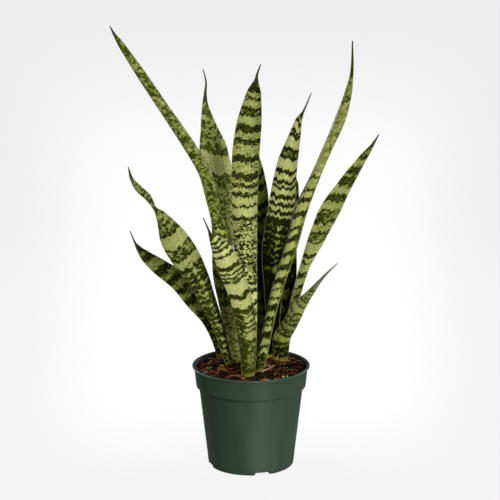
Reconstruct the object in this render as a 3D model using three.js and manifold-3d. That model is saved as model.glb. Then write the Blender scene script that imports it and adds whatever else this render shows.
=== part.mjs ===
// Potted Ceylon bowstring hemp: twelve stiff, banded sword leaves in a round nursery pot.
// Millimetres, +Z up. The origin is the middle of the pot's underside, where it stands.
// Seen from the front, +X is to the right and +Y goes away from the viewer.

import * as THREE from 'three';
import { mergeVertices } from 'three/addons/utils/BufferGeometryUtils.js';
import Module from 'manifold-3d';

const wasm = await Module();
wasm.setup();

// Driving dimensions of the pot
const POT_HEIGHT = 135;
const LIP_RADIUS = 77.2;
const LIP_HEIGHT = 2.5;
const LIP_CORNER = 0.7;
const BAND_TOP_RADIUS = 74.7;
const BAND_FOOT_RADIUS = 72;
const BAND_FOOT_Z = 107.5;
const SHOULDER_RADIUS = 68.2;
const SHOULDER_Z = 105.5;
const FOOT_RADIUS = 56;
const RIDGE_RADIUS = 57.2;
const RIDGE_Z = 9;
const RIDGE_HEIGHT = 1.5;
const CORNER = 1;
const WALL = 1.5;
const INNER_STEP_RISE = 1.7;
const INNER_SHOULDER_Z = SHOULDER_Z + INNER_STEP_RISE;
const INNER_BAND_FOOT_Z = BAND_FOOT_Z + INNER_STEP_RISE;
const FLOOR = 1.8;
const PAD_RADIUS = 22;
const DRAIN_RISE = 2;
const FOOT_RING_WIDTH = 5;
const POT_SEGMENTS = 48;

// Drain notches in the foot of the wall
const NOTCHES = 4;
const NOTCH_WIDTH = 21;
const NOTCH_HEIGHT = 4;
const NOTCH_DEPTH = 14;
const FIRST_NOTCH_DEG = -74;

// Potting mix
const MIX_LEVEL = 129;
const MIX_CROWN = 1.2;
const MIX_RINGS = 9;
const MIX_RELIEF = 0.75;

// Lumps in the mix, as waves: share of the relief, radians a millimetre along X and Y, start
const MIX_WAVES = [
  [1, 0.31, 0.12, 1.3],
  [0.8, -0.18, 0.33, 0.4],
  [0.7, 0.63, -0.52, 0],
  [0.5, 0.47, 0.81, 2.1],
];

// Clearance between pieces that touch
const GAP = 0.5;

// Leaf sections
const SECTION_CORNERS = 10;
const RINGS_PER_SPAN = 3;
const FOOT_HALF_THICKNESS = 2.6;
const BLADE_HALF_THICKNESS = 1.3;
const THINNEST_HALF = 0.4;
const THICKNESS_TO_WIDTH = 0.7;
const THIN_FROM = 0.6;
const CHANNEL_POWER = 1.5;
const HOLE_DEPTH = 20;
const FOOT_Z = MIX_LEVEL - HOLE_DEPTH;
const WIDTH_TENSION = 0.4;
const MERGE_DISTANCE = 1e-4;

const LEAF_ROUGHNESS = 0.45;
const POT_ROUGHNESS = 0.55;
const MIX_ROUGHNESS = 0.95;

// Each leaf follows a curve through a few points of its midrib, from its foot in the mix to
// the end of its dry tip. A point is [x, y, z, half width, facing, hollow]. facing is the way
// its face looks: 0 is to the front, and positive degrees are turned to the right. hollow is
// how far the margins stand forward of that face, as a share of the half width, and it is
// negative where the blade is arched forward along its midrib.
const LEAVES = [
  {
    name: 'leaf_far_left_tall',
    color: 0x6f7f3a,
    points: [
      [-6.5, -19, FOOT_Z, 4.6, 20, -0.4],
      [-8.5, -20, 158, 6, 20, -0.4],
      [-21.5, -22, 244, 8.1, 25, -0.4],
      [-35.5, -28, 314, 9.2, 30, -0.4],
      [-47.5, -37, 364, 8.8, 30, -0.4],
      [-57, -45, 401.5, 8.8, 30, -0.4],
      [-73.2, -53, 432, 8.1, 30, -0.4],
      [-105.8, -65, 484.5, 6.9, 30, -0.4],
      [-132.5, -73, 527, 6.2, 30, -0.4],
      [-158.5, -80, 567.5, 4, 25, -0.4],
      [-167.5, -82, 581.5, 1.7, 20, -0.3],
      [-172.5, -83, 591.5, 0.6, 20, -0.3],
    ],
  },
  {
    name: 'leaf_left_back',
    color: 0x68763a,
    points: [
      [-15.5, 22, FOOT_Z, 6.3, 18, -0.3],
      [-25.5, 22, 170, 8.1, 18, -0.3],
      [-31.5, 22, 211, 10.3, 18, -0.3],
      [-36.5, 22, 253, 13.1, 18, -0.3],
      [-35, 23, 308.5, 15.2, 18, -0.3],
      [-37, 24, 348.5, 17.5, 18, -0.3],
      [-40, 26, 376, 20.2, 18, -0.3],
      [-47.5, 29, 416, 18.7, 18, -0.3],
      [-55, 32, 450.5, 9.6, 15, -0.3],
      [-59, 34, 474.5, 4, 10, -0.3],
      [-59, 35, 488, 1.9, 0, -0.3],
      [-58, 36, 503.5, 1.1, 0, -0.3],
      [-62, 38, 520, 0.6, 0, -0.3],
    ],
  },
  {
    name: 'leaf_centre_tall',
    color: 0x7d8750,
    points: [
      [-2, -29, FOOT_Z, 6.2, 10, -0.45],
      [0, -31, 178, 8.2, 10, -0.45],
      [-2.5, -33, 239, 11.4, 10, -0.45],
      [-6.5, -35, 311.5, 15.6, 10, -0.35],
      [-7.5, -42, 419.5, 17.5, 10, 0.2],
      [-3.5, -46, 463.5, 16.1, 10, 0.35],
      [3, -49, 504, 9.5, 10, 0.4],
      [6.5, -51, 520, 2.7, 5, 0.3],
      [7.5, -51, 526.5, 1.5, 0, 0.3],
      [12, -52, 539.5, 0.6, 0, 0.3],
    ],
  },
  {
    name: 'leaf_right_back',
    color: 0x5c6a3c,
    points: [
      [25, 45, FOOT_Z, 6.3, -20, 0.35],
      [30, 44, 166, 8.5, -20, 0.35],
      [31, 43, 222.5, 12.8, -20, 0.35],
      [34.5, 43, 277.5, 19.1, -20, 0.35],
      [42, 45, 338, 18.1, -20, 0.35],
      [49, 48, 393, 14, -20, 0.35],
      [58.5, 52, 432.5, 7.8, -20, 0.35],
      [63, 54, 451, 4.4, -20, 0.35],
      [68, 55, 461, 1.5, -10, 0.35],
      [78.5, 57, 485.5, 0.6, 0, 0.35],
    ],
  },
  {
    name: 'leaf_right_tall',
    color: 0x7a8a4a,
    points: [
      [5, -19, FOOT_Z, 4.3, -30, -0.6],
      [11.5, -20, 148, 7.3, -35, -0.6],
      [27, -28, 230, 8.5, -40, -0.6],
      [50, -42, 312, 9.5, -38, -0.6],
      [58.5, -49, 348, 9.9, -36, -0.6],
      [78.5, -60, 399.5, 7.1, -40, -0.6],
      [95.5, -70, 442, 6.8, -38, -0.6],
      [108.5, -77, 472.5, 6.9, -20, -0.6],
      [118.5, -84, 504, 4.9, -5, -0.6],
      [123.5, -90, 534.5, 2.2, 0, -0.6],
      [123.5, -97, 575, 0.8, 0, -0.6],
    ],
  },
  {
    name: 'leaf_far_right',
    color: 0x66753c,
    points: [
      [42.5, 44, FOOT_Z, 4.3, -20, -0.3],
      [48.5, 46, 165, 5.3, -25, -0.3],
      [59, 46, 214.5, 6.1, -25, -0.3],
      [70.5, 47, 255, 6.9, -25, -0.2],
      [87.5, 49, 294, 11.3, -25, 0.2],
      [104.5, 52, 329.5, 13.5, -25, 0.3],
      [125.5, 57, 365.5, 9.5, -25, 0.3],
      [148.5, 63, 400, 5.1, -20, 0.3],
      [160, 66, 416, 2.1, -10, 0.3],
      [168, 69, 429, 0.6, 0, 0.3],
    ],
  },
  {
    name: 'leaf_front_broad',
    color: 0x88905a,
    points: [
      [-4, -38, FOOT_Z, 6.7, 8, -0.5],
      [-3, -41, 145, 9.6, 8, -0.5],
      [-4.5, -48, 192, 12.8, 8, -0.45],
      [-12, -57, 237.5, 14.1, 8, -0.35],
      [-23.5, -66, 272.5, 14.9, 8, -0.35],
      [-34, -75, 301.5, 13.6, 8, -0.35],
      [-43, -81, 319, 8.8, 8, -0.35],
      [-50.5, -85, 329.5, 2.7, 8, -0.3],
      [-53, -88, 336.5, 1.3, 0, -0.3],
      [-59.5, -93, 353.5, 0.6, 0, -0.3],
    ],
  },
  {
    name: 'leaf_low_right',
    color: 0x70803e,
    points: [
      [39, 34, FOOT_Z, 7.2, -15, -0.2],
      [39, 32, 146.5, 11.4, -15, -0.2],
      [40, 31, 161, 11.4, -15, -0.2],
      [50.5, 29, 181, 10.2, -20, -0.3],
      [59, 25, 200, 9.9, -20, -0.3],
      [67.5, 22, 213, 7.2, -20, -0.3],
      [78, 15, 228.5, 4.5, -20, -0.3],
      [90, 6, 246.5, 2.3, -15, -0.3],
      [100.5, -2, 260.5, 1.3, 0, -0.3],
      [111.5, -9, 273.5, 0.6, 0, -0.3],
    ],
  },
  {
    name: 'leaf_low_left',
    color: 0x4a5530,
    points: [
      [-36.5, 49, FOOT_Z, 4.6, 25, 0.3],
      [-46.5, 52, 151, 6.1, 25, 0.3],
      [-58.5, 57, 181, 9.3, 25, 0.3],
      [-77, 63, 205, 12.3, 25, 0.3],
      [-98, 70, 230.5, 13, 25, 0.3],
      [-124, 78, 248, 10.8, 25, 0.3],
      [-140, 85, 259, 7.7, 25, 0.3],
      [-150, 89, 269, 3.8, 25, 0.3],
      [-155.5, 92, 277, 1.4, 10, 0.3],
      [-162, 95, 292.5, 0.6, 0, 0.3],
    ],
  },
  {
    name: 'leaf_left_curled',
    color: 0x6b7a40,
    points: [
      [-21, 11, FOOT_Z, 4.7, 15, -0.4],
      [-33.5, 10, 150.5, 5.9, 15, -0.4],
      [-41, 7, 179.5, 7.5, 15, -0.4],
      [-56, 1, 221.5, 11.2, 15, -0.4],
      [-67.5, -5, 251, 15, 15, -0.4],
      [-82.5, -12, 280.5, 18.6, 15, -0.4],
      [-98, -20, 308, 17.3, 15, -0.4],
      [-114, -29, 341, 7.2, 25, -0.4],
      [-121.5, -32, 352, 4, 75, -0.4],
      [-129, -35, 365.5, 4.5, 40, -0.4],
      [-142, -38, 378.5, 4.5, 20, -0.4],
      [-150.5, -41, 391, 2.3, 10, -0.4],
      [-155, -44, 408, 0.6, 0, -0.4],
    ],
  },
  {
    name: 'leaf_behind_centre',
    color: 0x3c4826,
    points: [
      [6, 34, FOOT_Z, 5.1, -12, 0.3],
      [12, 49, 167.5, 7, -12, 0.3],
      [15, 57, 210.5, 9.2, -12, 0.3],
      [13, 67, 263, 12.3, -12, 0.3],
      [10, 81, 339, 14.5, -12, 0.3],
      [8, 88, 371, 10.9, -12, 0.3],
      [4, 95, 399, 6.1, -12, 0.3],
      [3, 98, 414, 1.6, 0, 0.3],
      [3, 100, 425, 0.6, 0, 0.3],
    ],
  },
  {
    name: 'leaf_behind_right',
    color: 0x3c4826,
    points: [
      [31, 53, FOOT_Z, 5.1, -20, 0.3],
      [42, 59, 163.5, 7.1, -22, 0.3],
      [49, 66, 204, 10.3, -25, 0.3],
      [50, 72, 237, 13.9, -25, 0.3],
      [49, 81, 283.5, 15.5, -25, 0.3],
      [54, 94, 334, 12.6, -25, 0.3],
      [57.5, 100, 354, 7.1, -20, 0.3],
      [58.5, 103, 364.5, 2, 0, 0.3],
      [60.5, 106, 374.5, 0.6, 0, 0.3],
    ],
  },
];

// A closed mesh as a solid that can be joined and cut, and back again
function toSolid(geometry) {
  geometry.deleteAttribute('normal');
  geometry.deleteAttribute('uv');
  const merged = mergeVertices(geometry, MERGE_DISTANCE);
  return new wasm.Manifold(new wasm.Mesh({
    numProp: 3,
    vertProperties: new Float32Array(merged.attributes.position.array),
    triVerts: new Uint32Array(merged.index.array),
  }));
}

function toGeometry(solid) {
  const mesh = solid.getMesh();
  const geometry = new THREE.BufferGeometry();
  geometry.setAttribute('position', new THREE.BufferAttribute(mesh.vertProperties, 3));
  geometry.setIndex(new THREE.BufferAttribute(mesh.triVerts, 1));
  geometry.computeVertexNormals();
  return geometry;
}

// A profile of [radius, height] pairs turned round the pot's upright axis
function turned(profile) {
  const points = profile.map(([radius, height]) => new THREE.Vector2(radius, height));
  return new THREE.LatheGeometry(points, POT_SEGMENTS).rotateX(Math.PI / 2);
}

// Inside radius of the pot's wall at a height. The step inside stands a little higher than
// the one outside, so the wall keeps its thickness there.
function insideRadius(z) {
  const wallCurve = [
    [0, FOOT_RADIUS],
    [INNER_SHOULDER_Z, SHOULDER_RADIUS],
    [INNER_BAND_FOOT_Z, BAND_FOOT_RADIUS],
    [POT_HEIGHT, BAND_TOP_RADIUS],
  ];
  const above = wallCurve.findIndex(([height]) => height >= z && height > 0);
  const [z0, r0] = wallCurve[above - 1];
  const [z1, r1] = wallCurve[above];
  return THREE.MathUtils.mapLinear(z, z0, z1, r0, r1) - WALL;
}

function potShell() {
  const ringInner = FOOT_RADIUS - FOOT_RING_WIDTH;
  const lipFoot = POT_HEIGHT - LIP_HEIGHT;
  const floorTop = DRAIN_RISE + FLOOR;
  const outside = [
    [0, 0],
    [PAD_RADIUS, 0],
    [PAD_RADIUS + DRAIN_RISE, DRAIN_RISE],
    [ringInner - DRAIN_RISE, DRAIN_RISE],
    [ringInner, 0],
    [FOOT_RADIUS - CORNER, 0],
    [FOOT_RADIUS, CORNER],
    [RIDGE_RADIUS, RIDGE_Z],
    [RIDGE_RADIUS, RIDGE_Z + RIDGE_HEIGHT],
    [SHOULDER_RADIUS, SHOULDER_Z],
    [BAND_FOOT_RADIUS - CORNER, BAND_FOOT_Z - CORNER],
    [BAND_FOOT_RADIUS, BAND_FOOT_Z],
    [BAND_TOP_RADIUS, lipFoot],
    [LIP_RADIUS - LIP_CORNER, lipFoot],
    [LIP_RADIUS, lipFoot + LIP_CORNER],
    [LIP_RADIUS, POT_HEIGHT - LIP_CORNER],
    [LIP_RADIUS - LIP_CORNER, POT_HEIGHT],
  ];
  const inside = [
    [insideRadius(POT_HEIGHT), POT_HEIGHT],
    [insideRadius(INNER_BAND_FOOT_Z), INNER_BAND_FOOT_Z],
    [insideRadius(INNER_SHOULDER_Z), INNER_SHOULDER_Z],
    [insideRadius(floorTop), floorTop],
    [PAD_RADIUS + DRAIN_RISE, floorTop],
    [PAD_RADIUS, FLOOR],
    [0, FLOOR],
  ];
  return toSolid(turned([...outside, ...inside]));
}

function drainNotch(index) {
  const angle = THREE.MathUtils.degToRad(FIRST_NOTCH_DEG + index * 360 / NOTCHES - 90);
  const box = new THREE.BoxGeometry(NOTCH_DEPTH, NOTCH_WIDTH, 2 * NOTCH_HEIGHT);
  box.translate(FOOT_RADIUS, 0, 0);
  return toSolid(box.rotateZ(angle));
}

function makePot() {
  let pot = potShell();
  for (let index = 0; index < NOTCHES; index += 1) {
    pot = pot.subtract(drainNotch(index));
  }
  return toGeometry(pot);
}

// Height of the mix over a point: a low crown with crumbly lumps that fade out at the wall
function mixHeight(x, y, rim) {
  const reach = Math.hypot(x, y) / rim;
  let lumps = 0;
  for (const [share, alongX, alongY, start] of MIX_WAVES) {
    lumps += share * Math.sin(alongX * x + alongY * y + start);
  }
  const fade = 1 - reach ** 4;
  return MIX_LEVEL + MIX_CROWN * (1 - reach ** 2) + MIX_RELIEF * lumps * fade;
}

function mixBody() {
  const rim = insideRadius(MIX_LEVEL) - GAP;
  const floorTop = DRAIN_RISE + FLOOR + GAP;
  const profile = [
    [0, FLOOR + GAP],
    [PAD_RADIUS - GAP, FLOOR + GAP],
    [PAD_RADIUS + DRAIN_RISE - GAP, floorTop],
    [insideRadius(floorTop) - GAP, floorTop],
    [insideRadius(INNER_SHOULDER_Z) - GAP, INNER_SHOULDER_Z],
    [insideRadius(INNER_BAND_FOOT_Z) - GAP, INNER_BAND_FOOT_Z],
  ];
  for (let ring = MIX_RINGS; ring >= 0; ring -= 1) {
    profile.push([rim * ring / MIX_RINGS, MIX_LEVEL]);
  }
  const geometry = turned(profile);
  const position = geometry.attributes.position;
  for (let i = 0; i < position.count; i += 1) {
    if (position.getZ(i) > MIX_LEVEL - 1) {
      position.setZ(i, mixHeight(position.getX(i), position.getY(i), rim));
    }
  }
  return toSolid(geometry);
}

// The midrib curve of a leaf, with the half width, the facing and the hollow that go with it
function leafCurves(leaf) {
  const middle = leaf.points.map(([x, y, z]) => new THREE.Vector3(x, y, z));
  const form = leaf.points.map(([, , , ...values]) => new THREE.Vector3(...values));
  return {
    spine: new THREE.CatmullRomCurve3(middle, false, 'centripetal'),
    form: new THREE.CatmullRomCurve3(form, false, 'catmullrom', WIDTH_TENSION),
  };
}

// One section of a leaf: its middle, the way across it, the way its face looks, its half
// width, its half thickness and how far its margins stand forward
function leafSection(curves, t) {
  const along = curves.spine.getTangent(t);
  const form = curves.form.getPoint(t);
  const facing = THREE.MathUtils.degToRad(form.y);
  const outward = new THREE.Vector3(Math.sin(facing), -Math.cos(facing), 0);
  outward.addScaledVector(along, -outward.dot(along)).normalize();
  const across = new THREE.Vector3().crossVectors(along, outward);
  const half = Math.max(form.x, THINNEST_HALF);
  const taper = Math.min(1, t / THIN_FROM);
  const fullest = THREE.MathUtils.lerp(FOOT_HALF_THICKNESS, BLADE_HALF_THICKNESS, taper);
  const thick = Math.max(THINNEST_HALF, Math.min(fullest, THICKNESS_TO_WIDTH * half));
  const hollow = form.z * half;
  return { middle: curves.spine.getPoint(t), along, outward, across, half, thick, hollow };
}

// A leaf is a round bar whose rings are moved onto the leaf's sections. grow makes it larger
// all round, for the hole that the leaf stands in, and spans keeps only its lowest part.
function leafGeometry(leaf, grow = 0, spans = leaf.points.length - 1) {
  const curves = leafCurves(leaf);
  const rings = spans * RINGS_PER_SPAN;
  const allRings = (leaf.points.length - 1) * RINGS_PER_SPAN;
  const cornerStart = Math.PI / SECTION_CORNERS;
  const widest = Math.cos(cornerStart);
  const bar = new THREE.CylinderGeometry(1, 1, 1, SECTION_CORNERS, rings, false, cornerStart - Math.PI / 2);
  const position = bar.attributes.position;
  for (let i = 0; i < position.count; i += 1) {
    const ring = Math.round((position.getY(i) + 0.5) * rings);
    const section = leafSection(curves, ring / allRings);
    const u = position.getX(i) / widest;
    const through = position.getZ(i);
    const margin = Math.abs(u) > 0.99 ? Math.sign(u) : 0;
    const forward = section.hollow * Math.abs(u) ** CHANNEL_POWER;
    const face = section.thick * through + grow * Math.sign(through);
    const point = section.middle
      .addScaledVector(section.across, section.half * u + grow * margin)
      .addScaledVector(section.outward, forward + face);
    if (ring === 0) {
      point.addScaledVector(section.along, -grow);
    }
    position.setXYZ(i, point.x, point.y, point.z);
  }
  return bar;
}

function makeLeaf(leaf) {
  return toGeometry(toSolid(leafGeometry(leaf)));
}

// The mix with a plain hole for the foot of each leaf
function makeMix() {
  let mix = mixBody();
  for (const leaf of LEAVES) {
    mix = mix.subtract(toSolid(leafGeometry(leaf, GAP, 1)));
  }
  return toGeometry(mix);
}

function piece(name, geometry, color, roughness) {
  const material = new THREE.MeshStandardMaterial({ color, roughness, metalness: 0 });
  const mesh = new THREE.Mesh(geometry, material);
  mesh.name = name;
  return mesh;
}

const group = new THREE.Group();
group.add(piece('pot', makePot(), 0x38493a, POT_ROUGHNESS));
group.add(piece('potting_mix', makeMix(), 0x2c1608, MIX_ROUGHNESS));
for (const leaf of LEAVES) {
  group.add(piece(leaf.name, makeLeaf(leaf), leaf.color, LEAF_ROUGHNESS));
}

export default group;
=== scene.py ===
"""Potted Ceylon bowstring hemp: twelve stiff, banded sword leaves in a round green nursery pot.

Lengths are in millimetres and turned into metres by MM where a mesh is made.
The origin is the middle of the pot's underside, +X is to the right and +Y goes away from the viewer.
"""
import math
import random

import bpy
from mathutils import Matrix, Vector, noise


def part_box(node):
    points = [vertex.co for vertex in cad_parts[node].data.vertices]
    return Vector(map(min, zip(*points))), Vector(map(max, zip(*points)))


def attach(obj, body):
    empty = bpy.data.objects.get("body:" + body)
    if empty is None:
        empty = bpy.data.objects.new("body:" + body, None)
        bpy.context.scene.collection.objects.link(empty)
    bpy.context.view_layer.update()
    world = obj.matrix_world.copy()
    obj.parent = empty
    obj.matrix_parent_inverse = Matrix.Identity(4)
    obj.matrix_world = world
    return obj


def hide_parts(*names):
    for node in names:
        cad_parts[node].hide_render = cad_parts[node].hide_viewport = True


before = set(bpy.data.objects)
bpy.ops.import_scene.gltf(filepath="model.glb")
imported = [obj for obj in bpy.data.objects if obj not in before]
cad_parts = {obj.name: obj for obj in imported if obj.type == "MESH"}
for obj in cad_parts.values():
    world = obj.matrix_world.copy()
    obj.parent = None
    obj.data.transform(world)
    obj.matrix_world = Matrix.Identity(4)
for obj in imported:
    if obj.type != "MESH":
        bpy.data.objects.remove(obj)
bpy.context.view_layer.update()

MM = 0.001

# The pot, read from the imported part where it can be
POT_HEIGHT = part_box("pot")[1].z / MM
LIP_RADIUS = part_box("pot")[1].x / MM
LIP_HEIGHT = 2.5
LIP_CORNER = 0.7
BAND_TOP_RADIUS = 74.7
BAND_FOOT_RADIUS = 72.0
BAND_FOOT_Z = 107.5
SHOULDER_RADIUS = 68.2
SHOULDER_Z = 105.5
FOOT_RADIUS = 56.0
RIDGE_RADIUS = 57.2
RIDGE_Z = 9.0
RIDGE_HEIGHT = 1.5
CORNER = 1.0
WALL = 1.5
INNER_STEP_RISE = 1.7
FLOOR = 1.8
PAD_RADIUS = 22.0
DRAIN_RISE = 2.0
FOOT_RING_WIDTH = 5.0
POT_SIDES = 144
EDGE_ROUNDING = 0.3
POT_COLOUR = "2e4133"
RUBBED_COLOUR = "384a3a"
RUBBED_SCALE = (40.0, 40.0, 9.0)
# Painted shade on the inside of the wall above the mix: its colour, and where it starts and is full across
# the wall and up from the mix
INNER_SHADE_COLOUR = "0a0e0b"
INNER_SHADE_BELOW_FACE = (0.5, 0.1)
INNER_SHADE_ABOVE_MIX = (-3.0, -2.0)
PLASTIC_GRAIN = 0.8
SATIN = (0.46, 0.58)

# Drain notches in the foot of the wall
NOTCHES = 4
NOTCH_WIDTH = 21.0
NOTCH_HEIGHT = 4.0
NOTCH_DEPTH = 14.0
FIRST_NOTCH_DEG = -74.0
NOTCH_CORNER = 2.4

# Potting mix
MIX_LEVEL = 129.0
MIX_CROWN = 1.2
MIX_RELIEF = 0.75
MIX_WAVES = (
    (1.0, 0.31, 0.12, 1.3),
    (0.8, -0.18, 0.33, 0.4),
    (0.7, 0.63, -0.52, 0.0),
    (0.5, 0.47, 0.81, 2.1),
)
MIX_GAP = 0.3
MIX_DEPTH = 9.0
MIX_TAPER = 0.98
MIX_CELLS = 170
CRUMB_SIZE = 4.0
CRUMB_RELIEF = 1.6
PEAT_CRUMBS = 2.8
PEAT_PATCHES = 14.0
PEAT_COLOURS = ((0, "050200"), (1, "5c2f14"), (0.6, "150902"))
FIBRE_COLOURS = ((0, "120702"), (1, "e0bd85"), (0.55, "2c1105"), (0.85, "9a5826"))
BARK_PATCHES = 5.0
BARK_COLOURS = ("060200", "54290f")

# Leaves
FOOT_Z = MIX_LEVEL - 20.0
FOOT_HALF_THICKNESS = 2.6
BLADE_HALF_THICKNESS = 1.3
THINNEST_HALF = 0.4
THICKNESS_TO_WIDTH = 0.7
THIN_FROM = 0.6
CHANNEL_POWER = 1.5
WIDTH_TENSION = 0.4
LEAF_CORNERS = 28
RINGS_PER_SPAN = 22

# How the leaf markings wander: size across, along and through the blade, and detail
UNEVENNESS = {
    "sway": ((10.0, 90.0, 1.5), 0.0),
    "wave": ((3.0, 22.0, 1.5), 0.0),
    "ripple": ((1.3, 4.0, 1.5), 0.0),
    "streak": ((0.8, 45.0, 2.0), 2.0),
    "cloud": ((5.0, 8.0, 2.0), 2.0),
    "mottle": ((3.6, 1.0, 1.5), 2.0),
}
BENDS = {"sway": 12.0, "wave": 8.0, "ripple": 2.0}
FLECK_SIZE = (3.6, 2.2, 1.5)
FLECK_DETAIL = 1.5
NOISE_START = (17.3, 5.1, 3.7)
NOISE_SPAN = (0.3, 0.7)

# Tones run from dark at 0 to pale at 1. A band's edge takes BAND_EDGE to each side of its place.
BAND_EDGE = 1.5
DARK_TONE = 0.12
HALF_TONE = 0.5
CLOUD_STRENGTH = 0.7
FLECK_STRENGTH = 2.4
FLECK_FADE = 4.0

# The strip that keeps the pale marks: its soft sides, its soft end, and the share left beside it, a dimming
# that is partly painted shade
WHOLE_BLADE = (-60, 60, 0)
CORE_EDGE = 1.2
CORE_END = 12.0
BESIDE_CORE = 0.48

# The tones over which the greens turn into each other. The darkest parts are greened a little.
DARKEST_TONES = (0.5, 0.3)
DARKEST_GREENED = 0.4
MID_TONES = (0.6, 0.82)
PALE_TONES = (0.78, 1.22)
GREENS_TURN = (0.2, 0.8)

# Light and dark streaks and mottles, and the shares of the half width over which a side's painted light and
# shade changes
STREAK_LIGHT = (0.8, 1.14)
MOTTLE_LIGHT = (0.74, 1.26)
PAINTED_SIDE_SPAN = (0.1, 0.8)
UNPAINTED_SIDES = ((1, 1), (1, 1))

# The yellowed foot, the hard margin and the dry tip: where each starts and is full, and its share
FOOT_COLOUR = "aba445"
FOOT_SPAN = (1.0, -8.0)
FOOT_UNEVEN = 16.0
FOOT_SHARE = 0.8
MARGIN_COLOUR = "8f8f5c"
MARGIN_SPAN = (0.9, 0.3)
MARGIN_SHARE = 0.5
TIP_COLOUR = "43432f"
TIP_SPAN = (6.0, -4.0)
BLADE_ROUGHNESS = 0.38
TIP_ROUGHNESS = 0.8
BLADE_GLOSS = {"IOR": 1.45, "Specular IOR Level": 0.1, "Specular Tint": (0.75, 0.9, 0.2, 1.0)}
BLADE_RELIEF = 0.25

# The greens of the leaves, from the shade between them to the palest bands. black is painted shade, and each
# leaf's choice of greens is partly its own colour and partly painted light and shade
GREENS = {
    "black": "040500", "deep": "141804", "shade": "242a06", "forest": "3a4410", "olive": "56601e",
    "moss": "707c2c", "fresh": "94a444", "sage": "9aa05e", "pale": "b2b86c", "cream": "d0d48a",
}
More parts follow.
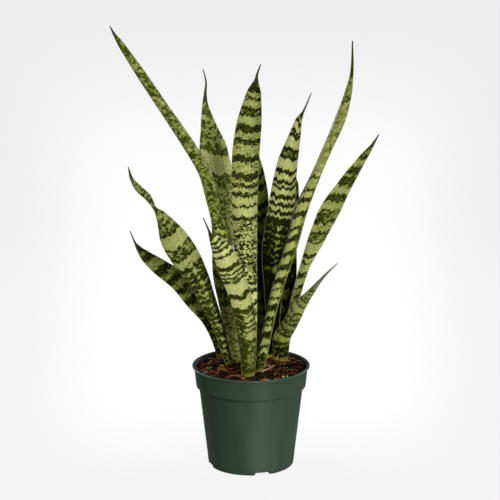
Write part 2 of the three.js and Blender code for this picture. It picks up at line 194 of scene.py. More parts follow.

# Each leaf follows a curve through a few points of its midrib, from its foot in the mix to the
# end of its dry tip. A point is (x, y, z, half width, facing, hollow). facing is the way its face
# looks: 0 is to the front, and positive degrees are turned to the right. hollow is how far the
# margins stand forward of that face, as a share of the half width, and it is negative where the
# blade is arched forward along its midrib.
# bands are the cross bands from foot to tip: where one starts and ends along the blade, and how
# pale it is. Between them the blade is dark, and at about 0.5 it is finely flecked.
# lean slopes the bands, in mm along for each mm across, bow = (middle, strength) bends them, and
# zigzag scales their waves.
# core = (left, right, until) keeps the pale marks in a strip, up to that place along the blade. The dimming
# beside the strip is partly the blade's own marking and partly painted shade on its sides.
# flecks is how strongly the blade is flecked, and grain scales the flecks.
# sides is painted light and shade: how much lighter or darker the left and the right half of the blade are
# made towards their margins. The two values of each, and the two of dark, mid and pale, its greens, are for
# low on the blade and high on it; the greens low and high are partly painted light and shade too. turn =
# (from, to) is where one turns into the other, as shares of its length.
# spike is the length of its dry end, and tip is the colour of that.
LEAVES = {
    "leaf_far_left_tall": dict(
        points=[
            (-6.5, -19, FOOT_Z, 4.6, 20, -0.4), (-8.5, -20, 158, 6, 20, -0.4),
            (-21.5, -22, 244, 8.1, 25, -0.4), (-35.5, -28, 314, 9.2, 30, -0.4),
            (-47.5, -37, 364, 8.8, 30, -0.4), (-57, -45, 401.5, 8.8, 30, -0.4),
            (-73.2, -53, 432, 8.1, 30, -0.4), (-105.8, -65, 484.5, 6.9, 30, -0.4),
            (-132.5, -73, 527, 6.2, 30, -0.4), (-158.5, -80, 567.5, 4, 25, -0.4),
            (-167.5, -82, 581.5, 1.7, 20, -0.3), (-172.5, -83, 591.5, 0.6, 20, -0.3),
        ],
        bands=[
            (31.5, 78.5, 0.32), (83, 87.5, 0.8), (92, 96.5, 0.8), (100, 104.5, 0.9), (110, 113, 0.9),
            (115.5, 118.5, 0.9), (121, 125, 0.9), (130.5, 145, 1), (148.5, 162, 0.62), (168.5, 181, 1),
            (183.5, 188.5, 0.95), (192, 194.5, 0.85), (196, 199.5, 0.85), (201, 205.5, 0.9),
            (209, 217, 0.75), (221, 240, 0.5), (242.5, 267, 0.48), (267, 327, 0.5),
            (327, 350, 0.5), (354, 392, 0.48), (396, 420, 0.58), (424, 452, 0.42), (455, 480, 0.55),
            (484, 513, 0.3),
        ],
        lean=-0.5, bow=(0, 0), core=(-1, 9, 120), flecks=0.9, grain=1.35, sides=((1, 1), (0.7, 1)), spike=12,
        dark=("deep", "forest"), mid=("forest", "moss"), pale=("fresh", "pale"),
    ),
    "leaf_left_back": dict(
        points=[
            (-15.5, 22, FOOT_Z, 6.3, 18, -0.3), (-25.5, 22, 170, 8.1, 18, -0.3),
            (-31.5, 22, 211, 10.3, 18, -0.3), (-36.5, 22, 253, 13.1, 18, -0.3),
            (-35, 23, 308.5, 15.2, 18, -0.3), (-37, 24, 348.5, 17.5, 18, -0.3),
            (-40, 26, 376, 20.2, 18, -0.3), (-47.5, 29, 416, 18.7, 18, -0.3),
            (-55, 32, 450.5, 9.6, 15, -0.3), (-59, 34, 474.5, 4, 10, -0.3), (-59, 35, 488, 1.9, 0, -0.3),
            (-58, 36, 503.5, 1.1, 0, -0.3), (-62, 38, 520, 0.6, 0, -0.3),
        ],
        bands=[
            (25.5, 101, 0.62), (105, 121, 0.3), (125, 135, 0.7), (141, 151.5, 0.6), (157.5, 167, 0.8),
            (173.5, 187.5, 0.7), (191.5, 265, 0.52), (267, 275, 0.3), (276, 302, 0.95), (310, 355, 0.48),
            (361, 371.5, 0.3),
        ],
        lean=-0.35, bow=(0, 0.02), flecks=1.0, grain=1.5, sides=((1.2, 1), (1, 1)), spike=40,
        dark=("forest", "forest"), mid=("fresh", "fresh"), pale=("cream", "cream"),
    ),
    "leaf_centre_tall": dict(
        points=[
            (-2, -29, FOOT_Z, 6.2, 10, -0.45), (0, -31, 178, 8.2, 10, -0.45),
            (-2.5, -33, 239, 11.4, 10, -0.45), (-6.5, -35, 311.5, 15.6, 10, -0.35),
            (-7.5, -42, 419.5, 17.5, 10, 0.2), (-3.5, -46, 463.5, 16.1, 10, 0.35),
            (3, -49, 504, 9.5, 10, 0.4), (6.5, -51, 520, 2.7, 5, 0.3), (7.5, -51, 526.5, 1.5, 0, 0.3),
            (12, -52, 539.5, 0.6, 0, 0.3),
        ],
        bands=[
            (31.5, 61, 0.4), (65, 73.5, 0.7), (77, 85, 0.7), (89.5, 99.5, 0.8), (105.5, 113.5, 0.8),
            (119.5, 131.5, 0.9), (136, 144, 0.6), (147, 228.5, 0.52), (233.5, 246, 1), (248.5, 259, 1),
            (265, 271.5, 0.9), (276.5, 282, 0.85), (290.5, 305.5, 0.8), (313.5, 329, 0.85),
            (335.5, 344, 0.85), (355, 366, 1), (368.5, 372.5, 0.5), (378, 388.5, 1), (391.5, 398, 0.8),
        ],
        lean=0, bow=(0, 0.006), zigzag=0.55, flecks=1.2, sides=((0.6, 0.8), (1, 0.6)), spike=22,
        dark=("black", "deep"), mid=("forest", "olive"), pale=("cream", "pale"),
    ),
    "leaf_right_back": dict(
        points=[
            (25, 45, FOOT_Z, 6.3, -20, 0.35), (30, 44, 166, 8.5, -20, 0.35),
            (31, 43, 222.5, 12.8, -20, 0.35), (34.5, 43, 277.5, 19.1, -20, 0.35),
            (42, 45, 338, 18.1, -20, 0.35), (49, 48, 393, 14, -20, 0.35), (58.5, 52, 432.5, 7.8, -20, 0.35),
            (63, 54, 451, 4.4, -20, 0.35), (68, 55, 461, 1.5, -10, 0.35), (78.5, 57, 485.5, 0.6, 0, 0.35),
        ],
        bands=[
            (30, 60, 0.2), (70, 90, 0.3), (98, 114, 0.35), (120, 130, 0.75), (138, 147, 0.9),
            (152, 156, 0.8), (160, 165, 0.85), (169, 174, 0.85), (178, 183, 0.85), (187, 192, 0.85),
            (196, 203, 0.8), (213, 218, 0.9), (223, 228.5, 0.95), (234, 239.5, 0.95), (246, 253.5, 0.95),
            (257, 260.5, 0.85), (265.5, 273.5, 0.95), (279, 292, 1), (296, 302.5, 0.5), (307.5, 321.5, 1),
            (324.5, 328.5, 0.5), (330.5, 340, 1), (345, 350, 0.7),
        ],
        lean=0.1, bow=(0, 0.01), core=(-3, 3, 205), turn=(0.4, 0.6), flecks=0.6,
        sides=((0.6, 0.7), (0.8, 0.8)), spike=26,
        dark=("black", "deep"), mid=("deep", "olive"), pale=("moss", "cream"),
    ),
    "leaf_right_tall": dict(
        points=[
            (5, -19, FOOT_Z, 4.3, -30, -0.6), (11.5, -20, 148, 7.3, -35, -0.6),
            (27, -28, 230, 8.5, -40, -0.6), (50, -42, 312, 9.5, -38, -0.6),
            (58.5, -49, 348, 9.9, -36, -0.6), (78.5, -60, 399.5, 7.1, -40, -0.6),
            (95.5, -70, 442, 6.8, -38, -0.6), (108.5, -77, 472.5, 6.9, -20, -0.6),
            (118.5, -84, 504, 4.9, -5, -0.6), (123.5, -90, 534.5, 2.2, 0, -0.6),
            (123.5, -97, 575, 0.8, 0, -0.6),
        ],
        bands=[
            (27, 41, 0.3), (46, 52, 0.9), (57, 65.5, 0.85), (75, 81.5, 0.9), (84.5, 88.5, 0.7),
            (94.5, 103.5, 0.8), (114, 121.5, 0.9), (125.5, 135.5, 0.95), (138.5, 146.5, 0.9),
            (155.5, 166, 1), (175, 186.5, 0.95), (195, 207, 1), (215, 223.5, 0.95), (229, 243, 0.95),
            (251.5, 264, 1), (270.5, 280.5, 0.9), (285, 298.5, 0.8), (301, 362.5, 0.68),
            (362.5, 412.5, 0.64), (412.5, 449, 0.52),
        ],
        lean=0.85, bow=(0, 0), core=(-4, 6.5, 297), flecks=0.55, grain=1.6,
        sides=((1.2, 0.7), (1.2, 1.2)), spike=26,
        dark=("deep", "shade"), mid=("olive", "moss"), pale=("sage", "pale"),
    ),
    "leaf_far_right": dict(
        points=[
            (42.5, 44, FOOT_Z, 4.3, -20, -0.3), (48.5, 46, 165, 5.3, -25, -0.3),
            (59, 46, 214.5, 6.1, -25, -0.3), (70.5, 47, 255, 6.9, -25, -0.2),
            (87.5, 49, 294, 11.3, -25, 0.2), (104.5, 52, 329.5, 13.5, -25, 0.3),
            (125.5, 57, 365.5, 9.5, -25, 0.3), (148.5, 63, 400, 5.1, -20, 0.3),
            (160, 66, 416, 2.1, -10, 0.3), (168, 69, 429, 0.6, 0, 0.3),
        ],
        bands=[
            (33, 62.5, 0.4), (68.5, 76.5, 0.6), (82, 90.5, 0.6), (96.5, 105, 0.7), (108.5, 116, 0.7),
            (120, 132, 0.95), (140, 152.5, 0.9), (155.5, 162, 0.8), (167, 184.5, 1), (186, 198.5, 0.4),
            (200.5, 211.5, 0.8), (218.5, 228.5, 0.48), (230.5, 242.5, 0.85), (254.5, 267, 0.9),
            (283, 287.5, 0.55), (300.5, 311, 0.75), (317, 327, 0.4),
        ],
        lean=0.55, bow=(0, 0), flecks=0.9, grain=1.3, sides=((0.8, 1), (1, 1.1)), spike=8,
        dark=("deep", "deep"), mid=("olive", "moss"), pale=("pale", "sage"),
    ),
    "leaf_front_broad": dict(
        points=[
            (-4, -38, FOOT_Z, 6.7, 8, -0.5), (-3, -41, 145, 9.6, 8, -0.5), (-4.5, -48, 192, 12.8, 8, -0.45),
            (-12, -57, 237.5, 14.1, 8, -0.35), (-23.5, -66, 272.5, 14.9, 8, -0.35),
            (-34, -75, 301.5, 13.6, 8, -0.35), (-43, -81, 319, 8.8, 8, -0.35),
            (-50.5, -85, 329.5, 2.7, 8, -0.3), (-53, -88, 336.5, 1.3, 0, -0.3),
            (-59.5, -93, 353.5, 0.6, 0, -0.3),
        ],
        bands=[
            (31, 71, 0.4), (73.5, 84, 0.85), (87, 91, 0.85), (94, 96.5, 0.8), (100, 105.5, 0.9),
            (108, 111.5, 0.85), (118.5, 132.5, 1), (140, 156, 1), (159.5, 162.5, 0.85), (165, 169, 0.95),
            (172, 175.5, 0.95), (182.5, 196, 1), (200, 206, 1), (210, 213.5, 0.95), (216, 220, 0.95),
            (223.5, 228, 0.9),
        ],
        lean=0, bow=(2, 0.012), zigzag=0.42, core=(-1.5, 11, 107), flecks=0.9,
        sides=((1.2, 1), (0.7, 0.8)), spike=24,
        dark=("shade", "shade"), mid=("olive", "olive"), pale=("sage", "cream"),
    ),
    "leaf_low_right": dict(
        points=[
            (39, 34, FOOT_Z, 7.2, -15, -0.2), (39, 32, 146.5, 11.4, -15, -0.2),
            (40, 31, 161, 11.4, -15, -0.2), (50.5, 29, 181, 10.2, -20, -0.3), (59, 25, 200, 9.9, -20, -0.3),
            (67.5, 22, 213, 7.2, -20, -0.3), (78, 15, 228.5, 4.5, -20, -0.3),
            (90, 6, 246.5, 2.3, -15, -0.3), (100.5, -2, 260.5, 1.3, 0, -0.3),
            (111.5, -9, 273.5, 0.6, 0, -0.3),
        ],
        bands=[
            (20, 26, 0.4), (30, 34, 0.5), (38, 43, 0.6), (47, 56, 0.85), (60, 64, 0.55), (68, 73, 0.65),
            (77, 82, 0.55), (86, 92, 0.6), (96, 105, 0.85), (108, 114, 0.6), (118, 136, 0.5),
        ],
        lean=0, bow=(0, 0.02), zigzag=0.25, flecks=1.0, grain=0.7,
        sides=((0.7, 1.2), (1.2, 1)), spike=52, tip="77805c",
        dark=("black", "shade"), mid=("shade", "sage"), pale=("moss", "pale"),
    ),
    "leaf_low_left": dict(
        points=[
            (-36.5, 49, FOOT_Z, 4.6, 25, 0.3), (-46.5, 52, 151, 6.1, 25, 0.3),
            (-58.5, 57, 181, 9.3, 25, 0.3), (-77, 63, 205, 12.3, 25, 0.3), (-98, 70, 230.5, 13, 25, 0.3),
            (-124, 78, 248, 10.8, 25, 0.3), (-140, 85, 259, 7.7, 25, 0.3), (-150, 89, 269, 3.8, 25, 0.3),
            (-155.5, 92, 277, 1.4, 10, 0.3), (-162, 95, 292.5, 0.6, 0, 0.3),
        ],
        bands=[
            (33.5, 84.5, 0.35), (90.5, 103.5, 0.6), (113.5, 123, 0.65), (130.5, 141, 0.7), (150, 160, 0.65),
            (171, 187.5, 0.75), (197.5, 205.5, 0.35),
        ],
        lean=-0.1, bow=(0, 0.02), flecks=0.6, grain=1.4, sides=((1.5, 1.4), (0.9, 0.8)), spike=20,
        dark=("deep", "deep"), mid=("moss", "olive"), pale=("pale", "sage"),
    ),
    "leaf_left_curled": dict(
        points=[
            (-21, 11, FOOT_Z, 4.7, 15, -0.4), (-33.5, 10, 150.5, 5.9, 15, -0.4),
            (-41, 7, 179.5, 7.5, 15, -0.4), (-56, 1, 221.5, 11.2, 15, -0.4), (-67.5, -5, 251, 15, 15, -0.4),
            (-82.5, -12, 280.5, 18.6, 15, -0.4), (-98, -20, 308, 17.3, 15, -0.4),
            (-114, -29, 341, 7.2, 25, -0.4), (-121.5, -32, 352, 4, 75, -0.4),
            (-129, -35, 365.5, 4.5, 40, -0.4), (-142, -38, 378.5, 4.5, 20, -0.4),
            (-150.5, -41, 391, 2.3, 10, -0.4), (-155, -44, 408, 0.6, 0, -0.4),
        ],
        bands=[
            (20, 37, 0.6), (39.5, 45.5, 0.95), (48.5, 52.5, 0.9), (57.5, 64, 0.95), (69.5, 74, 0.8),
            (77.5, 83, 0.85),
            (86, 89, 0.8), (94, 97.5, 0.8), (102, 105.5, 0.8), (109.5, 114, 0.8), (117.5, 122, 0.8),
            (125.5, 130, 0.85), (134, 137.5, 0.85), (142, 146.5, 0.9), (151, 155, 0.85), (159, 168, 0.85),
            (171, 185, 0.85), (189, 201.5, 0.45), (204.5, 224.5, 0.9), (230, 241, 0.5), (244, 262, 0.6),
            (268, 277, 0.55), (282, 330, 0.5),
        ],
        lean=0, bow=(0, 0.012), zigzag=0.6, core=(-1.5, 4, 169), flecks=0.9, grain=1.3,
        sides=((1.2, 1), (1.2, 1)), spike=16,
        dark=("deep", "shade"), mid=("moss", "olive"), pale=("cream", "sage"),
    ),
    "leaf_behind_centre": dict(
        points=[
            (6, 34, FOOT_Z, 5.1, -12, 0.3), (12, 49, 167.5, 7, -12, 0.3), (15, 57, 210.5, 9.2, -12, 0.3),
            (13, 67, 263, 12.3, -12, 0.3), (10, 81, 339, 14.5, -12, 0.3), (8, 88, 371, 10.9, -12, 0.3),
            (4, 95, 399, 6.1, -12, 0.3), (3, 98, 414, 1.6, 0, 0.3), (3, 100, 425, 0.6, 0, 0.3),
        ],
        bands=[
            (31.5, 61.5, 0.35), (67.5, 77.5, 0.6), (85, 93, 0.6), (101.5, 113.5, 0.7), (121, 151.5, 0.45),
            (157, 169, 0.7), (177, 185, 0.7), (193, 207, 0.8), (215, 223, 0.7), (231, 247, 0.8),
            (253, 262.5, 0.6), (269, 280.5, 0.7), (286.5, 295, 0.6),
        ],
        lean=0.1, bow=(0, 0.015), turn=(0.5, 0.9), flecks=0.5, spike=12,
        dark=("black", "deep"), mid=("deep", "forest"), pale=("shade", "fresh"),
    ),
    "leaf_behind_right": dict(
        points=[
            (31, 53, FOOT_Z, 5.1, -20, 0.3), (42, 59, 163.5, 7.1, -22, 0.3), (49, 66, 204, 10.3, -25, 0.3),
            (50, 72, 237, 13.9, -25, 0.3), (49, 81, 283.5, 15.5, -25, 0.3), (54, 94, 334, 12.6, -25, 0.3),
            (57.5, 100, 354, 7.1, -20, 0.3), (58.5, 103, 364.5, 2, 0, 0.3), (60.5, 106, 374.5, 0.6, 0, 0.3),
        ],
        bands=[
            (33, 58.5, 0.35), (64.5, 72.5, 0.6), (80.5, 90.5, 0.6), (98.5, 110.5, 0.7), (118, 140, 0.45),
            (145.5, 157.5, 0.7), (166, 173.5, 0.7), (181.5, 195, 0.8), (203, 211, 0.7), (217.5, 229, 0.7),
            (235, 243, 0.6),
        ],
        lean=0.1, bow=(0, 0.015), turn=(0.5, 0.9), flecks=0.5, spike=12,
        dark=("black", "deep"), mid=("deep", "forest"), pale=("olive", "sage"),
    ),
}


def linear(hex_colour):
    """A colour written as an sRGB hex value, as the linear colour that a material takes."""
    channels = [int(hex_colour[i:i + 2], 16) / 255 for i in (0, 2, 4)]
    return tuple(c / 12.92 if c <= 0.04045 else ((c + 0.055) / 1.055) ** 2.4 for c in channels) + (1.0,)


def add(tree, kind, links=None, **settings):
    """Adds a node with its settings, and links or sets its inputs.

    A node given as a source means its first enabled output.
    """
    node = tree.nodes.new(kind)
    for setting, value in settings.items():
        setattr(node, setting, value)
    for socket, value in (links or {}).items():
        if isinstance(value, bpy.types.Node):
            value = next(output for output in value.outputs if output.enabled)
        if isinstance(value, bpy.types.NodeSocket):
            tree.links.new(value, node.inputs[socket])
        else:
            node.inputs[socket].default_value = value
    return node


def maths(tree, operation, *values):
    """One sum on one to three values."""
    return add(tree, "ShaderNodeMath", dict(enumerate(values)), operation=operation)


def ranged(tree, value, start, end, low=0.0, high=1.0, soft=False):
    """Turns a value that runs from start to end into one that runs from low to high."""
    limits = {"Value": value, "From Min": start, "From Max": end, "To Min": low, "To Max": high}
    step = "SMOOTHSTEP" if soft else "LINEAR"
    return add(tree, "ShaderNodeMapRange", limits, interpolation_type=step)


def blend(tree, share, first, second):
    """The first colour turned into the second by a share. Each is a node or a hex value."""
    first, second = (linear(c) if isinstance(c, str) else c for c in (first, second))
    return add(tree, "ShaderNodeMix", {0: share, 6: first, 7: second}, data_type="RGBA")


def noise_texture(tree, place, size, detail):
    """Noise whose lumps have about this size."""
    return add(tree, "ShaderNodeTexNoise", {"Vector": place, "Scale": 1 / size, "Detail": detail})


def stretched(tree, place, size, start):
    """A place in units of a size across, along and through the blade, counted from a start."""
    return add(
        tree, "ShaderNodeVectorMath",
        {0: place, 1: tuple(1 / s for s in size), 2: start}, operation="MULTIPLY_ADD",
    )


def dull_surface(tree, colour, roughness, gloss):
    return add(
        tree, "ShaderNodeBsdfPrincipled",
        {"Base Color": colour, "Roughness": roughness, "Specular IOR Level": gloss},
    )


def new_material(name):
    material = bpy.data.materials.new(name)
    material.use_nodes = True
    material.node_tree.nodes.clear()
    return material, material.node_tree


def finish_material(tree, surface, height=None, relief=0.0001, strength=1.0):
    """Gives the surface its relief and joins it to the output."""
    if height is not None:
        bump = add(tree, "ShaderNodeBump", {"Strength": strength, "Distance": relief, "Height": height})
        tree.links.new(bump.outputs["Normal"], surface.inputs["Normal"])
    add(tree, "ShaderNodeOutputMaterial", {"Surface": surface})


def select_only(piece):
    """Only this piece is selected and active."""
    bpy.ops.object.select_all(action="DESELECT")
    piece.select_set(True)
    bpy.context.view_layer.objects.active = piece


def apply_modifier(piece, kind, **settings):
    select_only(piece)
    modifier = piece.modifiers.new(kind.lower(), kind)
    for setting, value in settings.items():
        setattr(modifier, setting, value)
    bpy.ops.object.modifier_apply(modifier=modifier.name)


def wear(piece, material, slot, *nodes):
    """The piece's material, its body, and the solids that it stands for; slot is not used."""
    piece.data.materials.clear()
    piece.data.materials.append(material)
    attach(piece, "root")
    if nodes:
        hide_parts(*nodes)


def smooth(piece, degrees):
    select_only(piece)
    bpy.ops.object.shade_smooth_by_angle(angle=math.radians(degrees))


def face_outward():
    """Ends the editing of a piece with all its faces turned outward."""
    bpy.ops.mesh.select_all(action="SELECT")
    bpy.ops.mesh.normals_make_consistent(inside=False)
    bpy.ops.object.mode_set(mode="OBJECT")


def copy_of(pattern):
    piece = pattern.copy()
    piece.data = pattern.data.copy()
    bpy.context.collection.objects.link(piece)
    return piece


def cut_bar(corners, rings):
    """A round bar of radius 1 and length 1, cut across into rings."""
    bpy.ops.mesh.primitive_cylinder_add(vertices=corners, radius=1, depth=1, end_fill_type="NGON")
    bar = bpy.context.object
    points = bar.data.vertices
    bpy.ops.object.mode_set(mode="EDIT")
    bpy.ops.mesh.select_mode(type="EDGE")
    bpy.ops.mesh.select_all(action="DESELECT")
    bpy.ops.object.mode_set(mode="OBJECT")
    for edge in bar.data.edges:
        low, high = (points[i].co.z for i in edge.vertices)
        edge.select = abs(high - low) > 0.5
    bpy.ops.object.mode_set(mode="EDIT")
    bpy.ops.mesh.subdivide(number_cuts=rings - 1)
    bpy.ops.object.mode_set(mode="OBJECT")
    return bar


def curve_point(points, place, tension=None):
    """The point at a place from 0 to 1 on the smooth curve through the points, and the way it runs.

    The knots are spaced by the root of the distance between the points, or evenly with a tension.
    """
    spans = len(points) - 1
    span = min(int(place * spans), spans - 1)
    share = place * spans - span
    p1, p2 = points[span], points[span + 1]
    p0 = points[span - 1] if span > 0 else 2 * p1 - p2
    p3 = points[span + 2] if span + 2 <= spans else 2 * p2 - p1
    if tension is None:
        d0, d1, d2 = ((b - a).length ** 0.5 for a, b in ((p0, p1), (p1, p2), (p2, p3)))
        start = ((p1 - p0) / d0 - (p2 - p0) / (d0 + d1) + (p2 - p1) / d1) * d1
        end = ((p2 - p1) / d1 - (p3 - p1) / (d1 + d2) + (p3 - p2) / d2) * d1
    else:
        start, end = tension * (p2 - p0), tension * (p3 - p1)
    square = -3 * p1 + 3 * p2 - 2 * start - end
    cube = 2 * p1 - 2 * p2 + start + end
    point = p1 + start * share + square * share ** 2 + cube * share ** 3
    return point, start + 2 * square * share + 3 * cube * share ** 2


def leaf_sections(leaf):
    """The blade's sections from foot to tip: middle, ways across and outward, half width, half
    thickness, how far the margins stand forward, and how far along the blade it is."""
    spine = [Vector(point[:3]) for point in leaf["points"]]
    form = [Vector(point[3:]) for point in leaf["points"]]
    rings = (len(spine) - 1) * RINGS_PER_SPAN
    sections = []
    along = 0.0
    for ring in range(rings + 1):
        place = ring / rings
        middle, way = curve_point(spine, place)
        half, facing, hollow = curve_point(form, place, WIDTH_TENSION)[0]
        way.normalize()
        outward = Vector((math.sin(math.radians(facing)), -math.cos(math.radians(facing)), 0))
        outward = (outward - way * outward.dot(way)).normalized()
        half = max(half, THINNEST_HALF)
        taper = min(1.0, place / THIN_FROM)
        fullest = FOOT_HALF_THICKNESS + (BLADE_HALF_THICKNESS - FOOT_HALF_THICKNESS) * taper
        thick = max(THINNEST_HALF, min(fullest, THICKNESS_TO_WIDTH * half))
        if sections:
            along += (middle - sections[-1]["middle"]).length
        sections.append(dict(
            middle=middle, across=way.cross(outward), outward=outward, half=half, thick=thick,
            hollow=hollow * half, along=along,
        ))
    return sections


def grow_leaf(name, leaf):
    """One blade: a round bar whose rings are moved onto the leaf's sections."""
    sections = leaf_sections(leaf)
    rings = len(sections) - 1
    blade = cut_bar(LEAF_CORNERS, rings)
    blade.name = blade.data.name = name.replace("leaf_", "blade_")
    widest = math.cos(math.pi / LEAF_CORNERS)
    turn = Matrix.Rotation(math.pi / LEAF_CORNERS, 3, "Z")
    place = blade.data.attributes.new("blade_place", "FLOAT_VECTOR", "POINT")
    reach = blade.data.attributes.new("blade_reach", "FLOAT_VECTOR", "POINT")
    length = sections[-1]["along"]
    for vertex in blade.data.vertices:
        at = sections[round((vertex.co.z + 0.5) * rings)]
        corner = turn @ vertex.co
        u = corner.x / widest
        through = -corner.y
        forward = at["hollow"] * min(1, abs(u)) ** CHANNEL_POWER
        point = at["middle"] + at["across"] * at["half"] * u
        point += at["outward"] * (forward + at["thick"] * through)
        vertex.co = point * MM
        to_margin = at["half"] * (1 - abs(u))
        place.data[vertex.index].vector = (at["half"] * u, at["along"], through)
        reach.data[vertex.index].vector = (to_margin, length - at["along"], point.z - MIX_LEVEL)
    select_only(blade)
    bpy.ops.object.mode_set(mode="EDIT")
    face_outward()
    smooth(blade, 60)
    return blade, length


def band_curve(node, bands, length):
    """Draws the bands as a curve from foot to tip: up at the start of each, and down at its end."""
    curve = node.mapping.curves[0]
    curve.points[0].location = (0, DARK_TONE)
    curve.points[1].location = (1, DARK_TONE)
    for start, end, tone in bands:
        corners = (
            (start - BAND_EDGE, DARK_TONE), (start + BAND_EDGE, tone),
            (end - BAND_EDGE, tone), (end + BAND_EDGE, DARK_TONE),
        )
        for at, value in corners:
            curve.points.new(at / length, value)
    for point in curve.points:
        point.handle_type = "VECTOR"
    node.mapping.update()


def bent_along(tree, leaf, across, along, uneven):
    """The place along the blade as the bands see it: sloped, bowed and bent into waves."""
    middle, strength = leaf["bow"]
    waves = leaf.get("zigzag", 1.0)
    off_bow = maths(tree, "SUBTRACT", across, middle)
    squared = maths(tree, "POWER", off_bow, 2.0)
    sloped = maths(tree, "MULTIPLY_ADD", across, -leaf["lean"], along)
    bowed = maths(tree, "MULTIPLY_ADD", squared, -strength, sloped)
    bent = maths(tree, "SUBTRACT", bowed, waves * sum(BENDS.values()) / 2)
    for key, size in BENDS.items():
        bent = maths(tree, "MULTIPLY_ADD", uneven[key], size * waves, bent)
    return bent


def band_tone(tree, leaf, across, bent, length):
    """The tone of the bands. Low on some blades the pale marks keep to a strip along the middle, and beside
    it they are dimmed, partly as painted shade.
    """
    along_share = maths(tree, "MULTIPLY", bent, 1 / length)
    tone = add(tree, "ShaderNodeFloatCurve", {"Factor": 1.0, "Value": along_share})
    band_curve(tone, leaf["bands"], length)
    left, right, until = leaf.get("core", WHOLE_BLADE)
    inside_left = ranged(tree, across, left - CORE_EDGE, left + CORE_EDGE, soft=True)
    inside_right = ranged(tree, across, right + CORE_EDGE, right - CORE_EDGE, soft=True)
    past = ranged(tree, bent, until - CORE_END, until + CORE_END, soft=True)
    inside = maths(tree, "MULTIPLY", inside_left, inside_right)
    shown = ranged(tree, inside, 0.0, 1.0, low=BESIDE_CORE)
    kept = maths(tree, "MAXIMUM", shown, past)
    return maths(tree, "MULTIPLY", tone, kept)


def flecked(tree, leaf, tone, fleck_place, cloud, start):
    """The tone with clouds and flecks. Flecks show most where it is neither pale nor dark."""
    size = tuple(s * leaf.get("grain", 1.0) for s in FLECK_SIZE)
    fleck = noise_texture(tree, stretched(tree, fleck_place, size, start), 1.0, FLECK_DETAIL)
    centred = maths(tree, "SUBTRACT", fleck, 0.5)
    from_half = maths(tree, "SUBTRACT", tone, HALF_TONE)
    squared = maths(tree, "POWER", from_half, 2.0)
    strength = leaf["flecks"]
    gain = maths(tree, "MULTIPLY_ADD", squared, -FLECK_FADE * strength, FLECK_STRENGTH * strength)
    clouded = maths(tree, "MULTIPLY_ADD", cloud, CLOUD_STRENGTH, tone)
    return maths(tree, "MULTIPLY_ADD", centred, gain, clouded)


def banded_green(tree, leaf, tone, height_share):
    """Dark green turns mid green and then pale, each from its low to its high green. Where the low greens
    are darker, that is painted shade low among the leaves.
    """
    dark, mid, pale = (
        blend(tree, height_share, *(GREENS[word] for word in leaf[key]))
        for key in ("dark", "mid", "pale")
    )
    darkest = ranged(tree, tone, *DARKEST_TONES, high=DARKEST_GREENED)
    greened = maths(tree, "ADD", darkest, ranged(tree, tone, *MID_TONES))
    green = blend(tree, greened, dark, mid)
    return blend(tree, ranged(tree, tone, *PALE_TONES), green, pale)


def streaks_and_painted_side_light(tree, leaf, across, to_margin, height_share, uneven):
    """Streaks and mottles, and painted light and shade that make the sides lighter or darker towards the
    margins.
    """
    streaked = ranged(tree, uneven["streak"], *NOISE_SPAN, *STREAK_LIGHT)
    mottled = ranged(tree, uneven["mottle"], *NOISE_SPAN, *MOTTLE_LIGHT)
    light = maths(tree, "MULTIPLY", streaked, mottled)
    half_width = maths(tree, "ADD", maths(tree, "ABSOLUTE", across), to_margin)
    share_across = maths(tree, "DIVIDE", across, half_width)
    inner, outer = PAINTED_SIDE_SPAN
    # Painted light and shade: each side of the blade is lightened or darkened towards its margin
    for margin, (low, high) in zip((-1.0, 1.0), leaf.get("sides", UNPAINTED_SIDES)):
        full = ranged(tree, height_share, 0.0, 1.0, low, high)
        side = ranged(tree, share_across, inner * margin, outer * margin, 1.0, full)
        light = maths(tree, "MULTIPLY", light, side)
    return light


def foot_margin_and_tip(tree, leaf, green, cloud, reach):
    """The colour with its yellowed foot, hard margin and dry tip, and the share of the tip."""
    to_margin, to_tip, above_mix = reach
    foot_height = maths(tree, "MULTIPLY_ADD", cloud, -FOOT_UNEVEN, above_mix)
    foot_share = ranged(tree, foot_height, *FOOT_SPAN, high=FOOT_SHARE, soft=True)
    footed = blend(tree, foot_share, green, FOOT_COLOUR)
    margin_share = ranged(tree, to_margin, *MARGIN_SPAN, high=MARGIN_SHARE)
    edged = blend(tree, margin_share, footed, MARGIN_COLOUR)
    tip_start, tip_full = (leaf["spike"] + past for past in TIP_SPAN)
    tip_share = ranged(tree, to_tip, tip_start, tip_full, soft=True)
    return blend(tree, tip_share, edged, leaf.get("tip", TIP_COLOUR)), tip_share


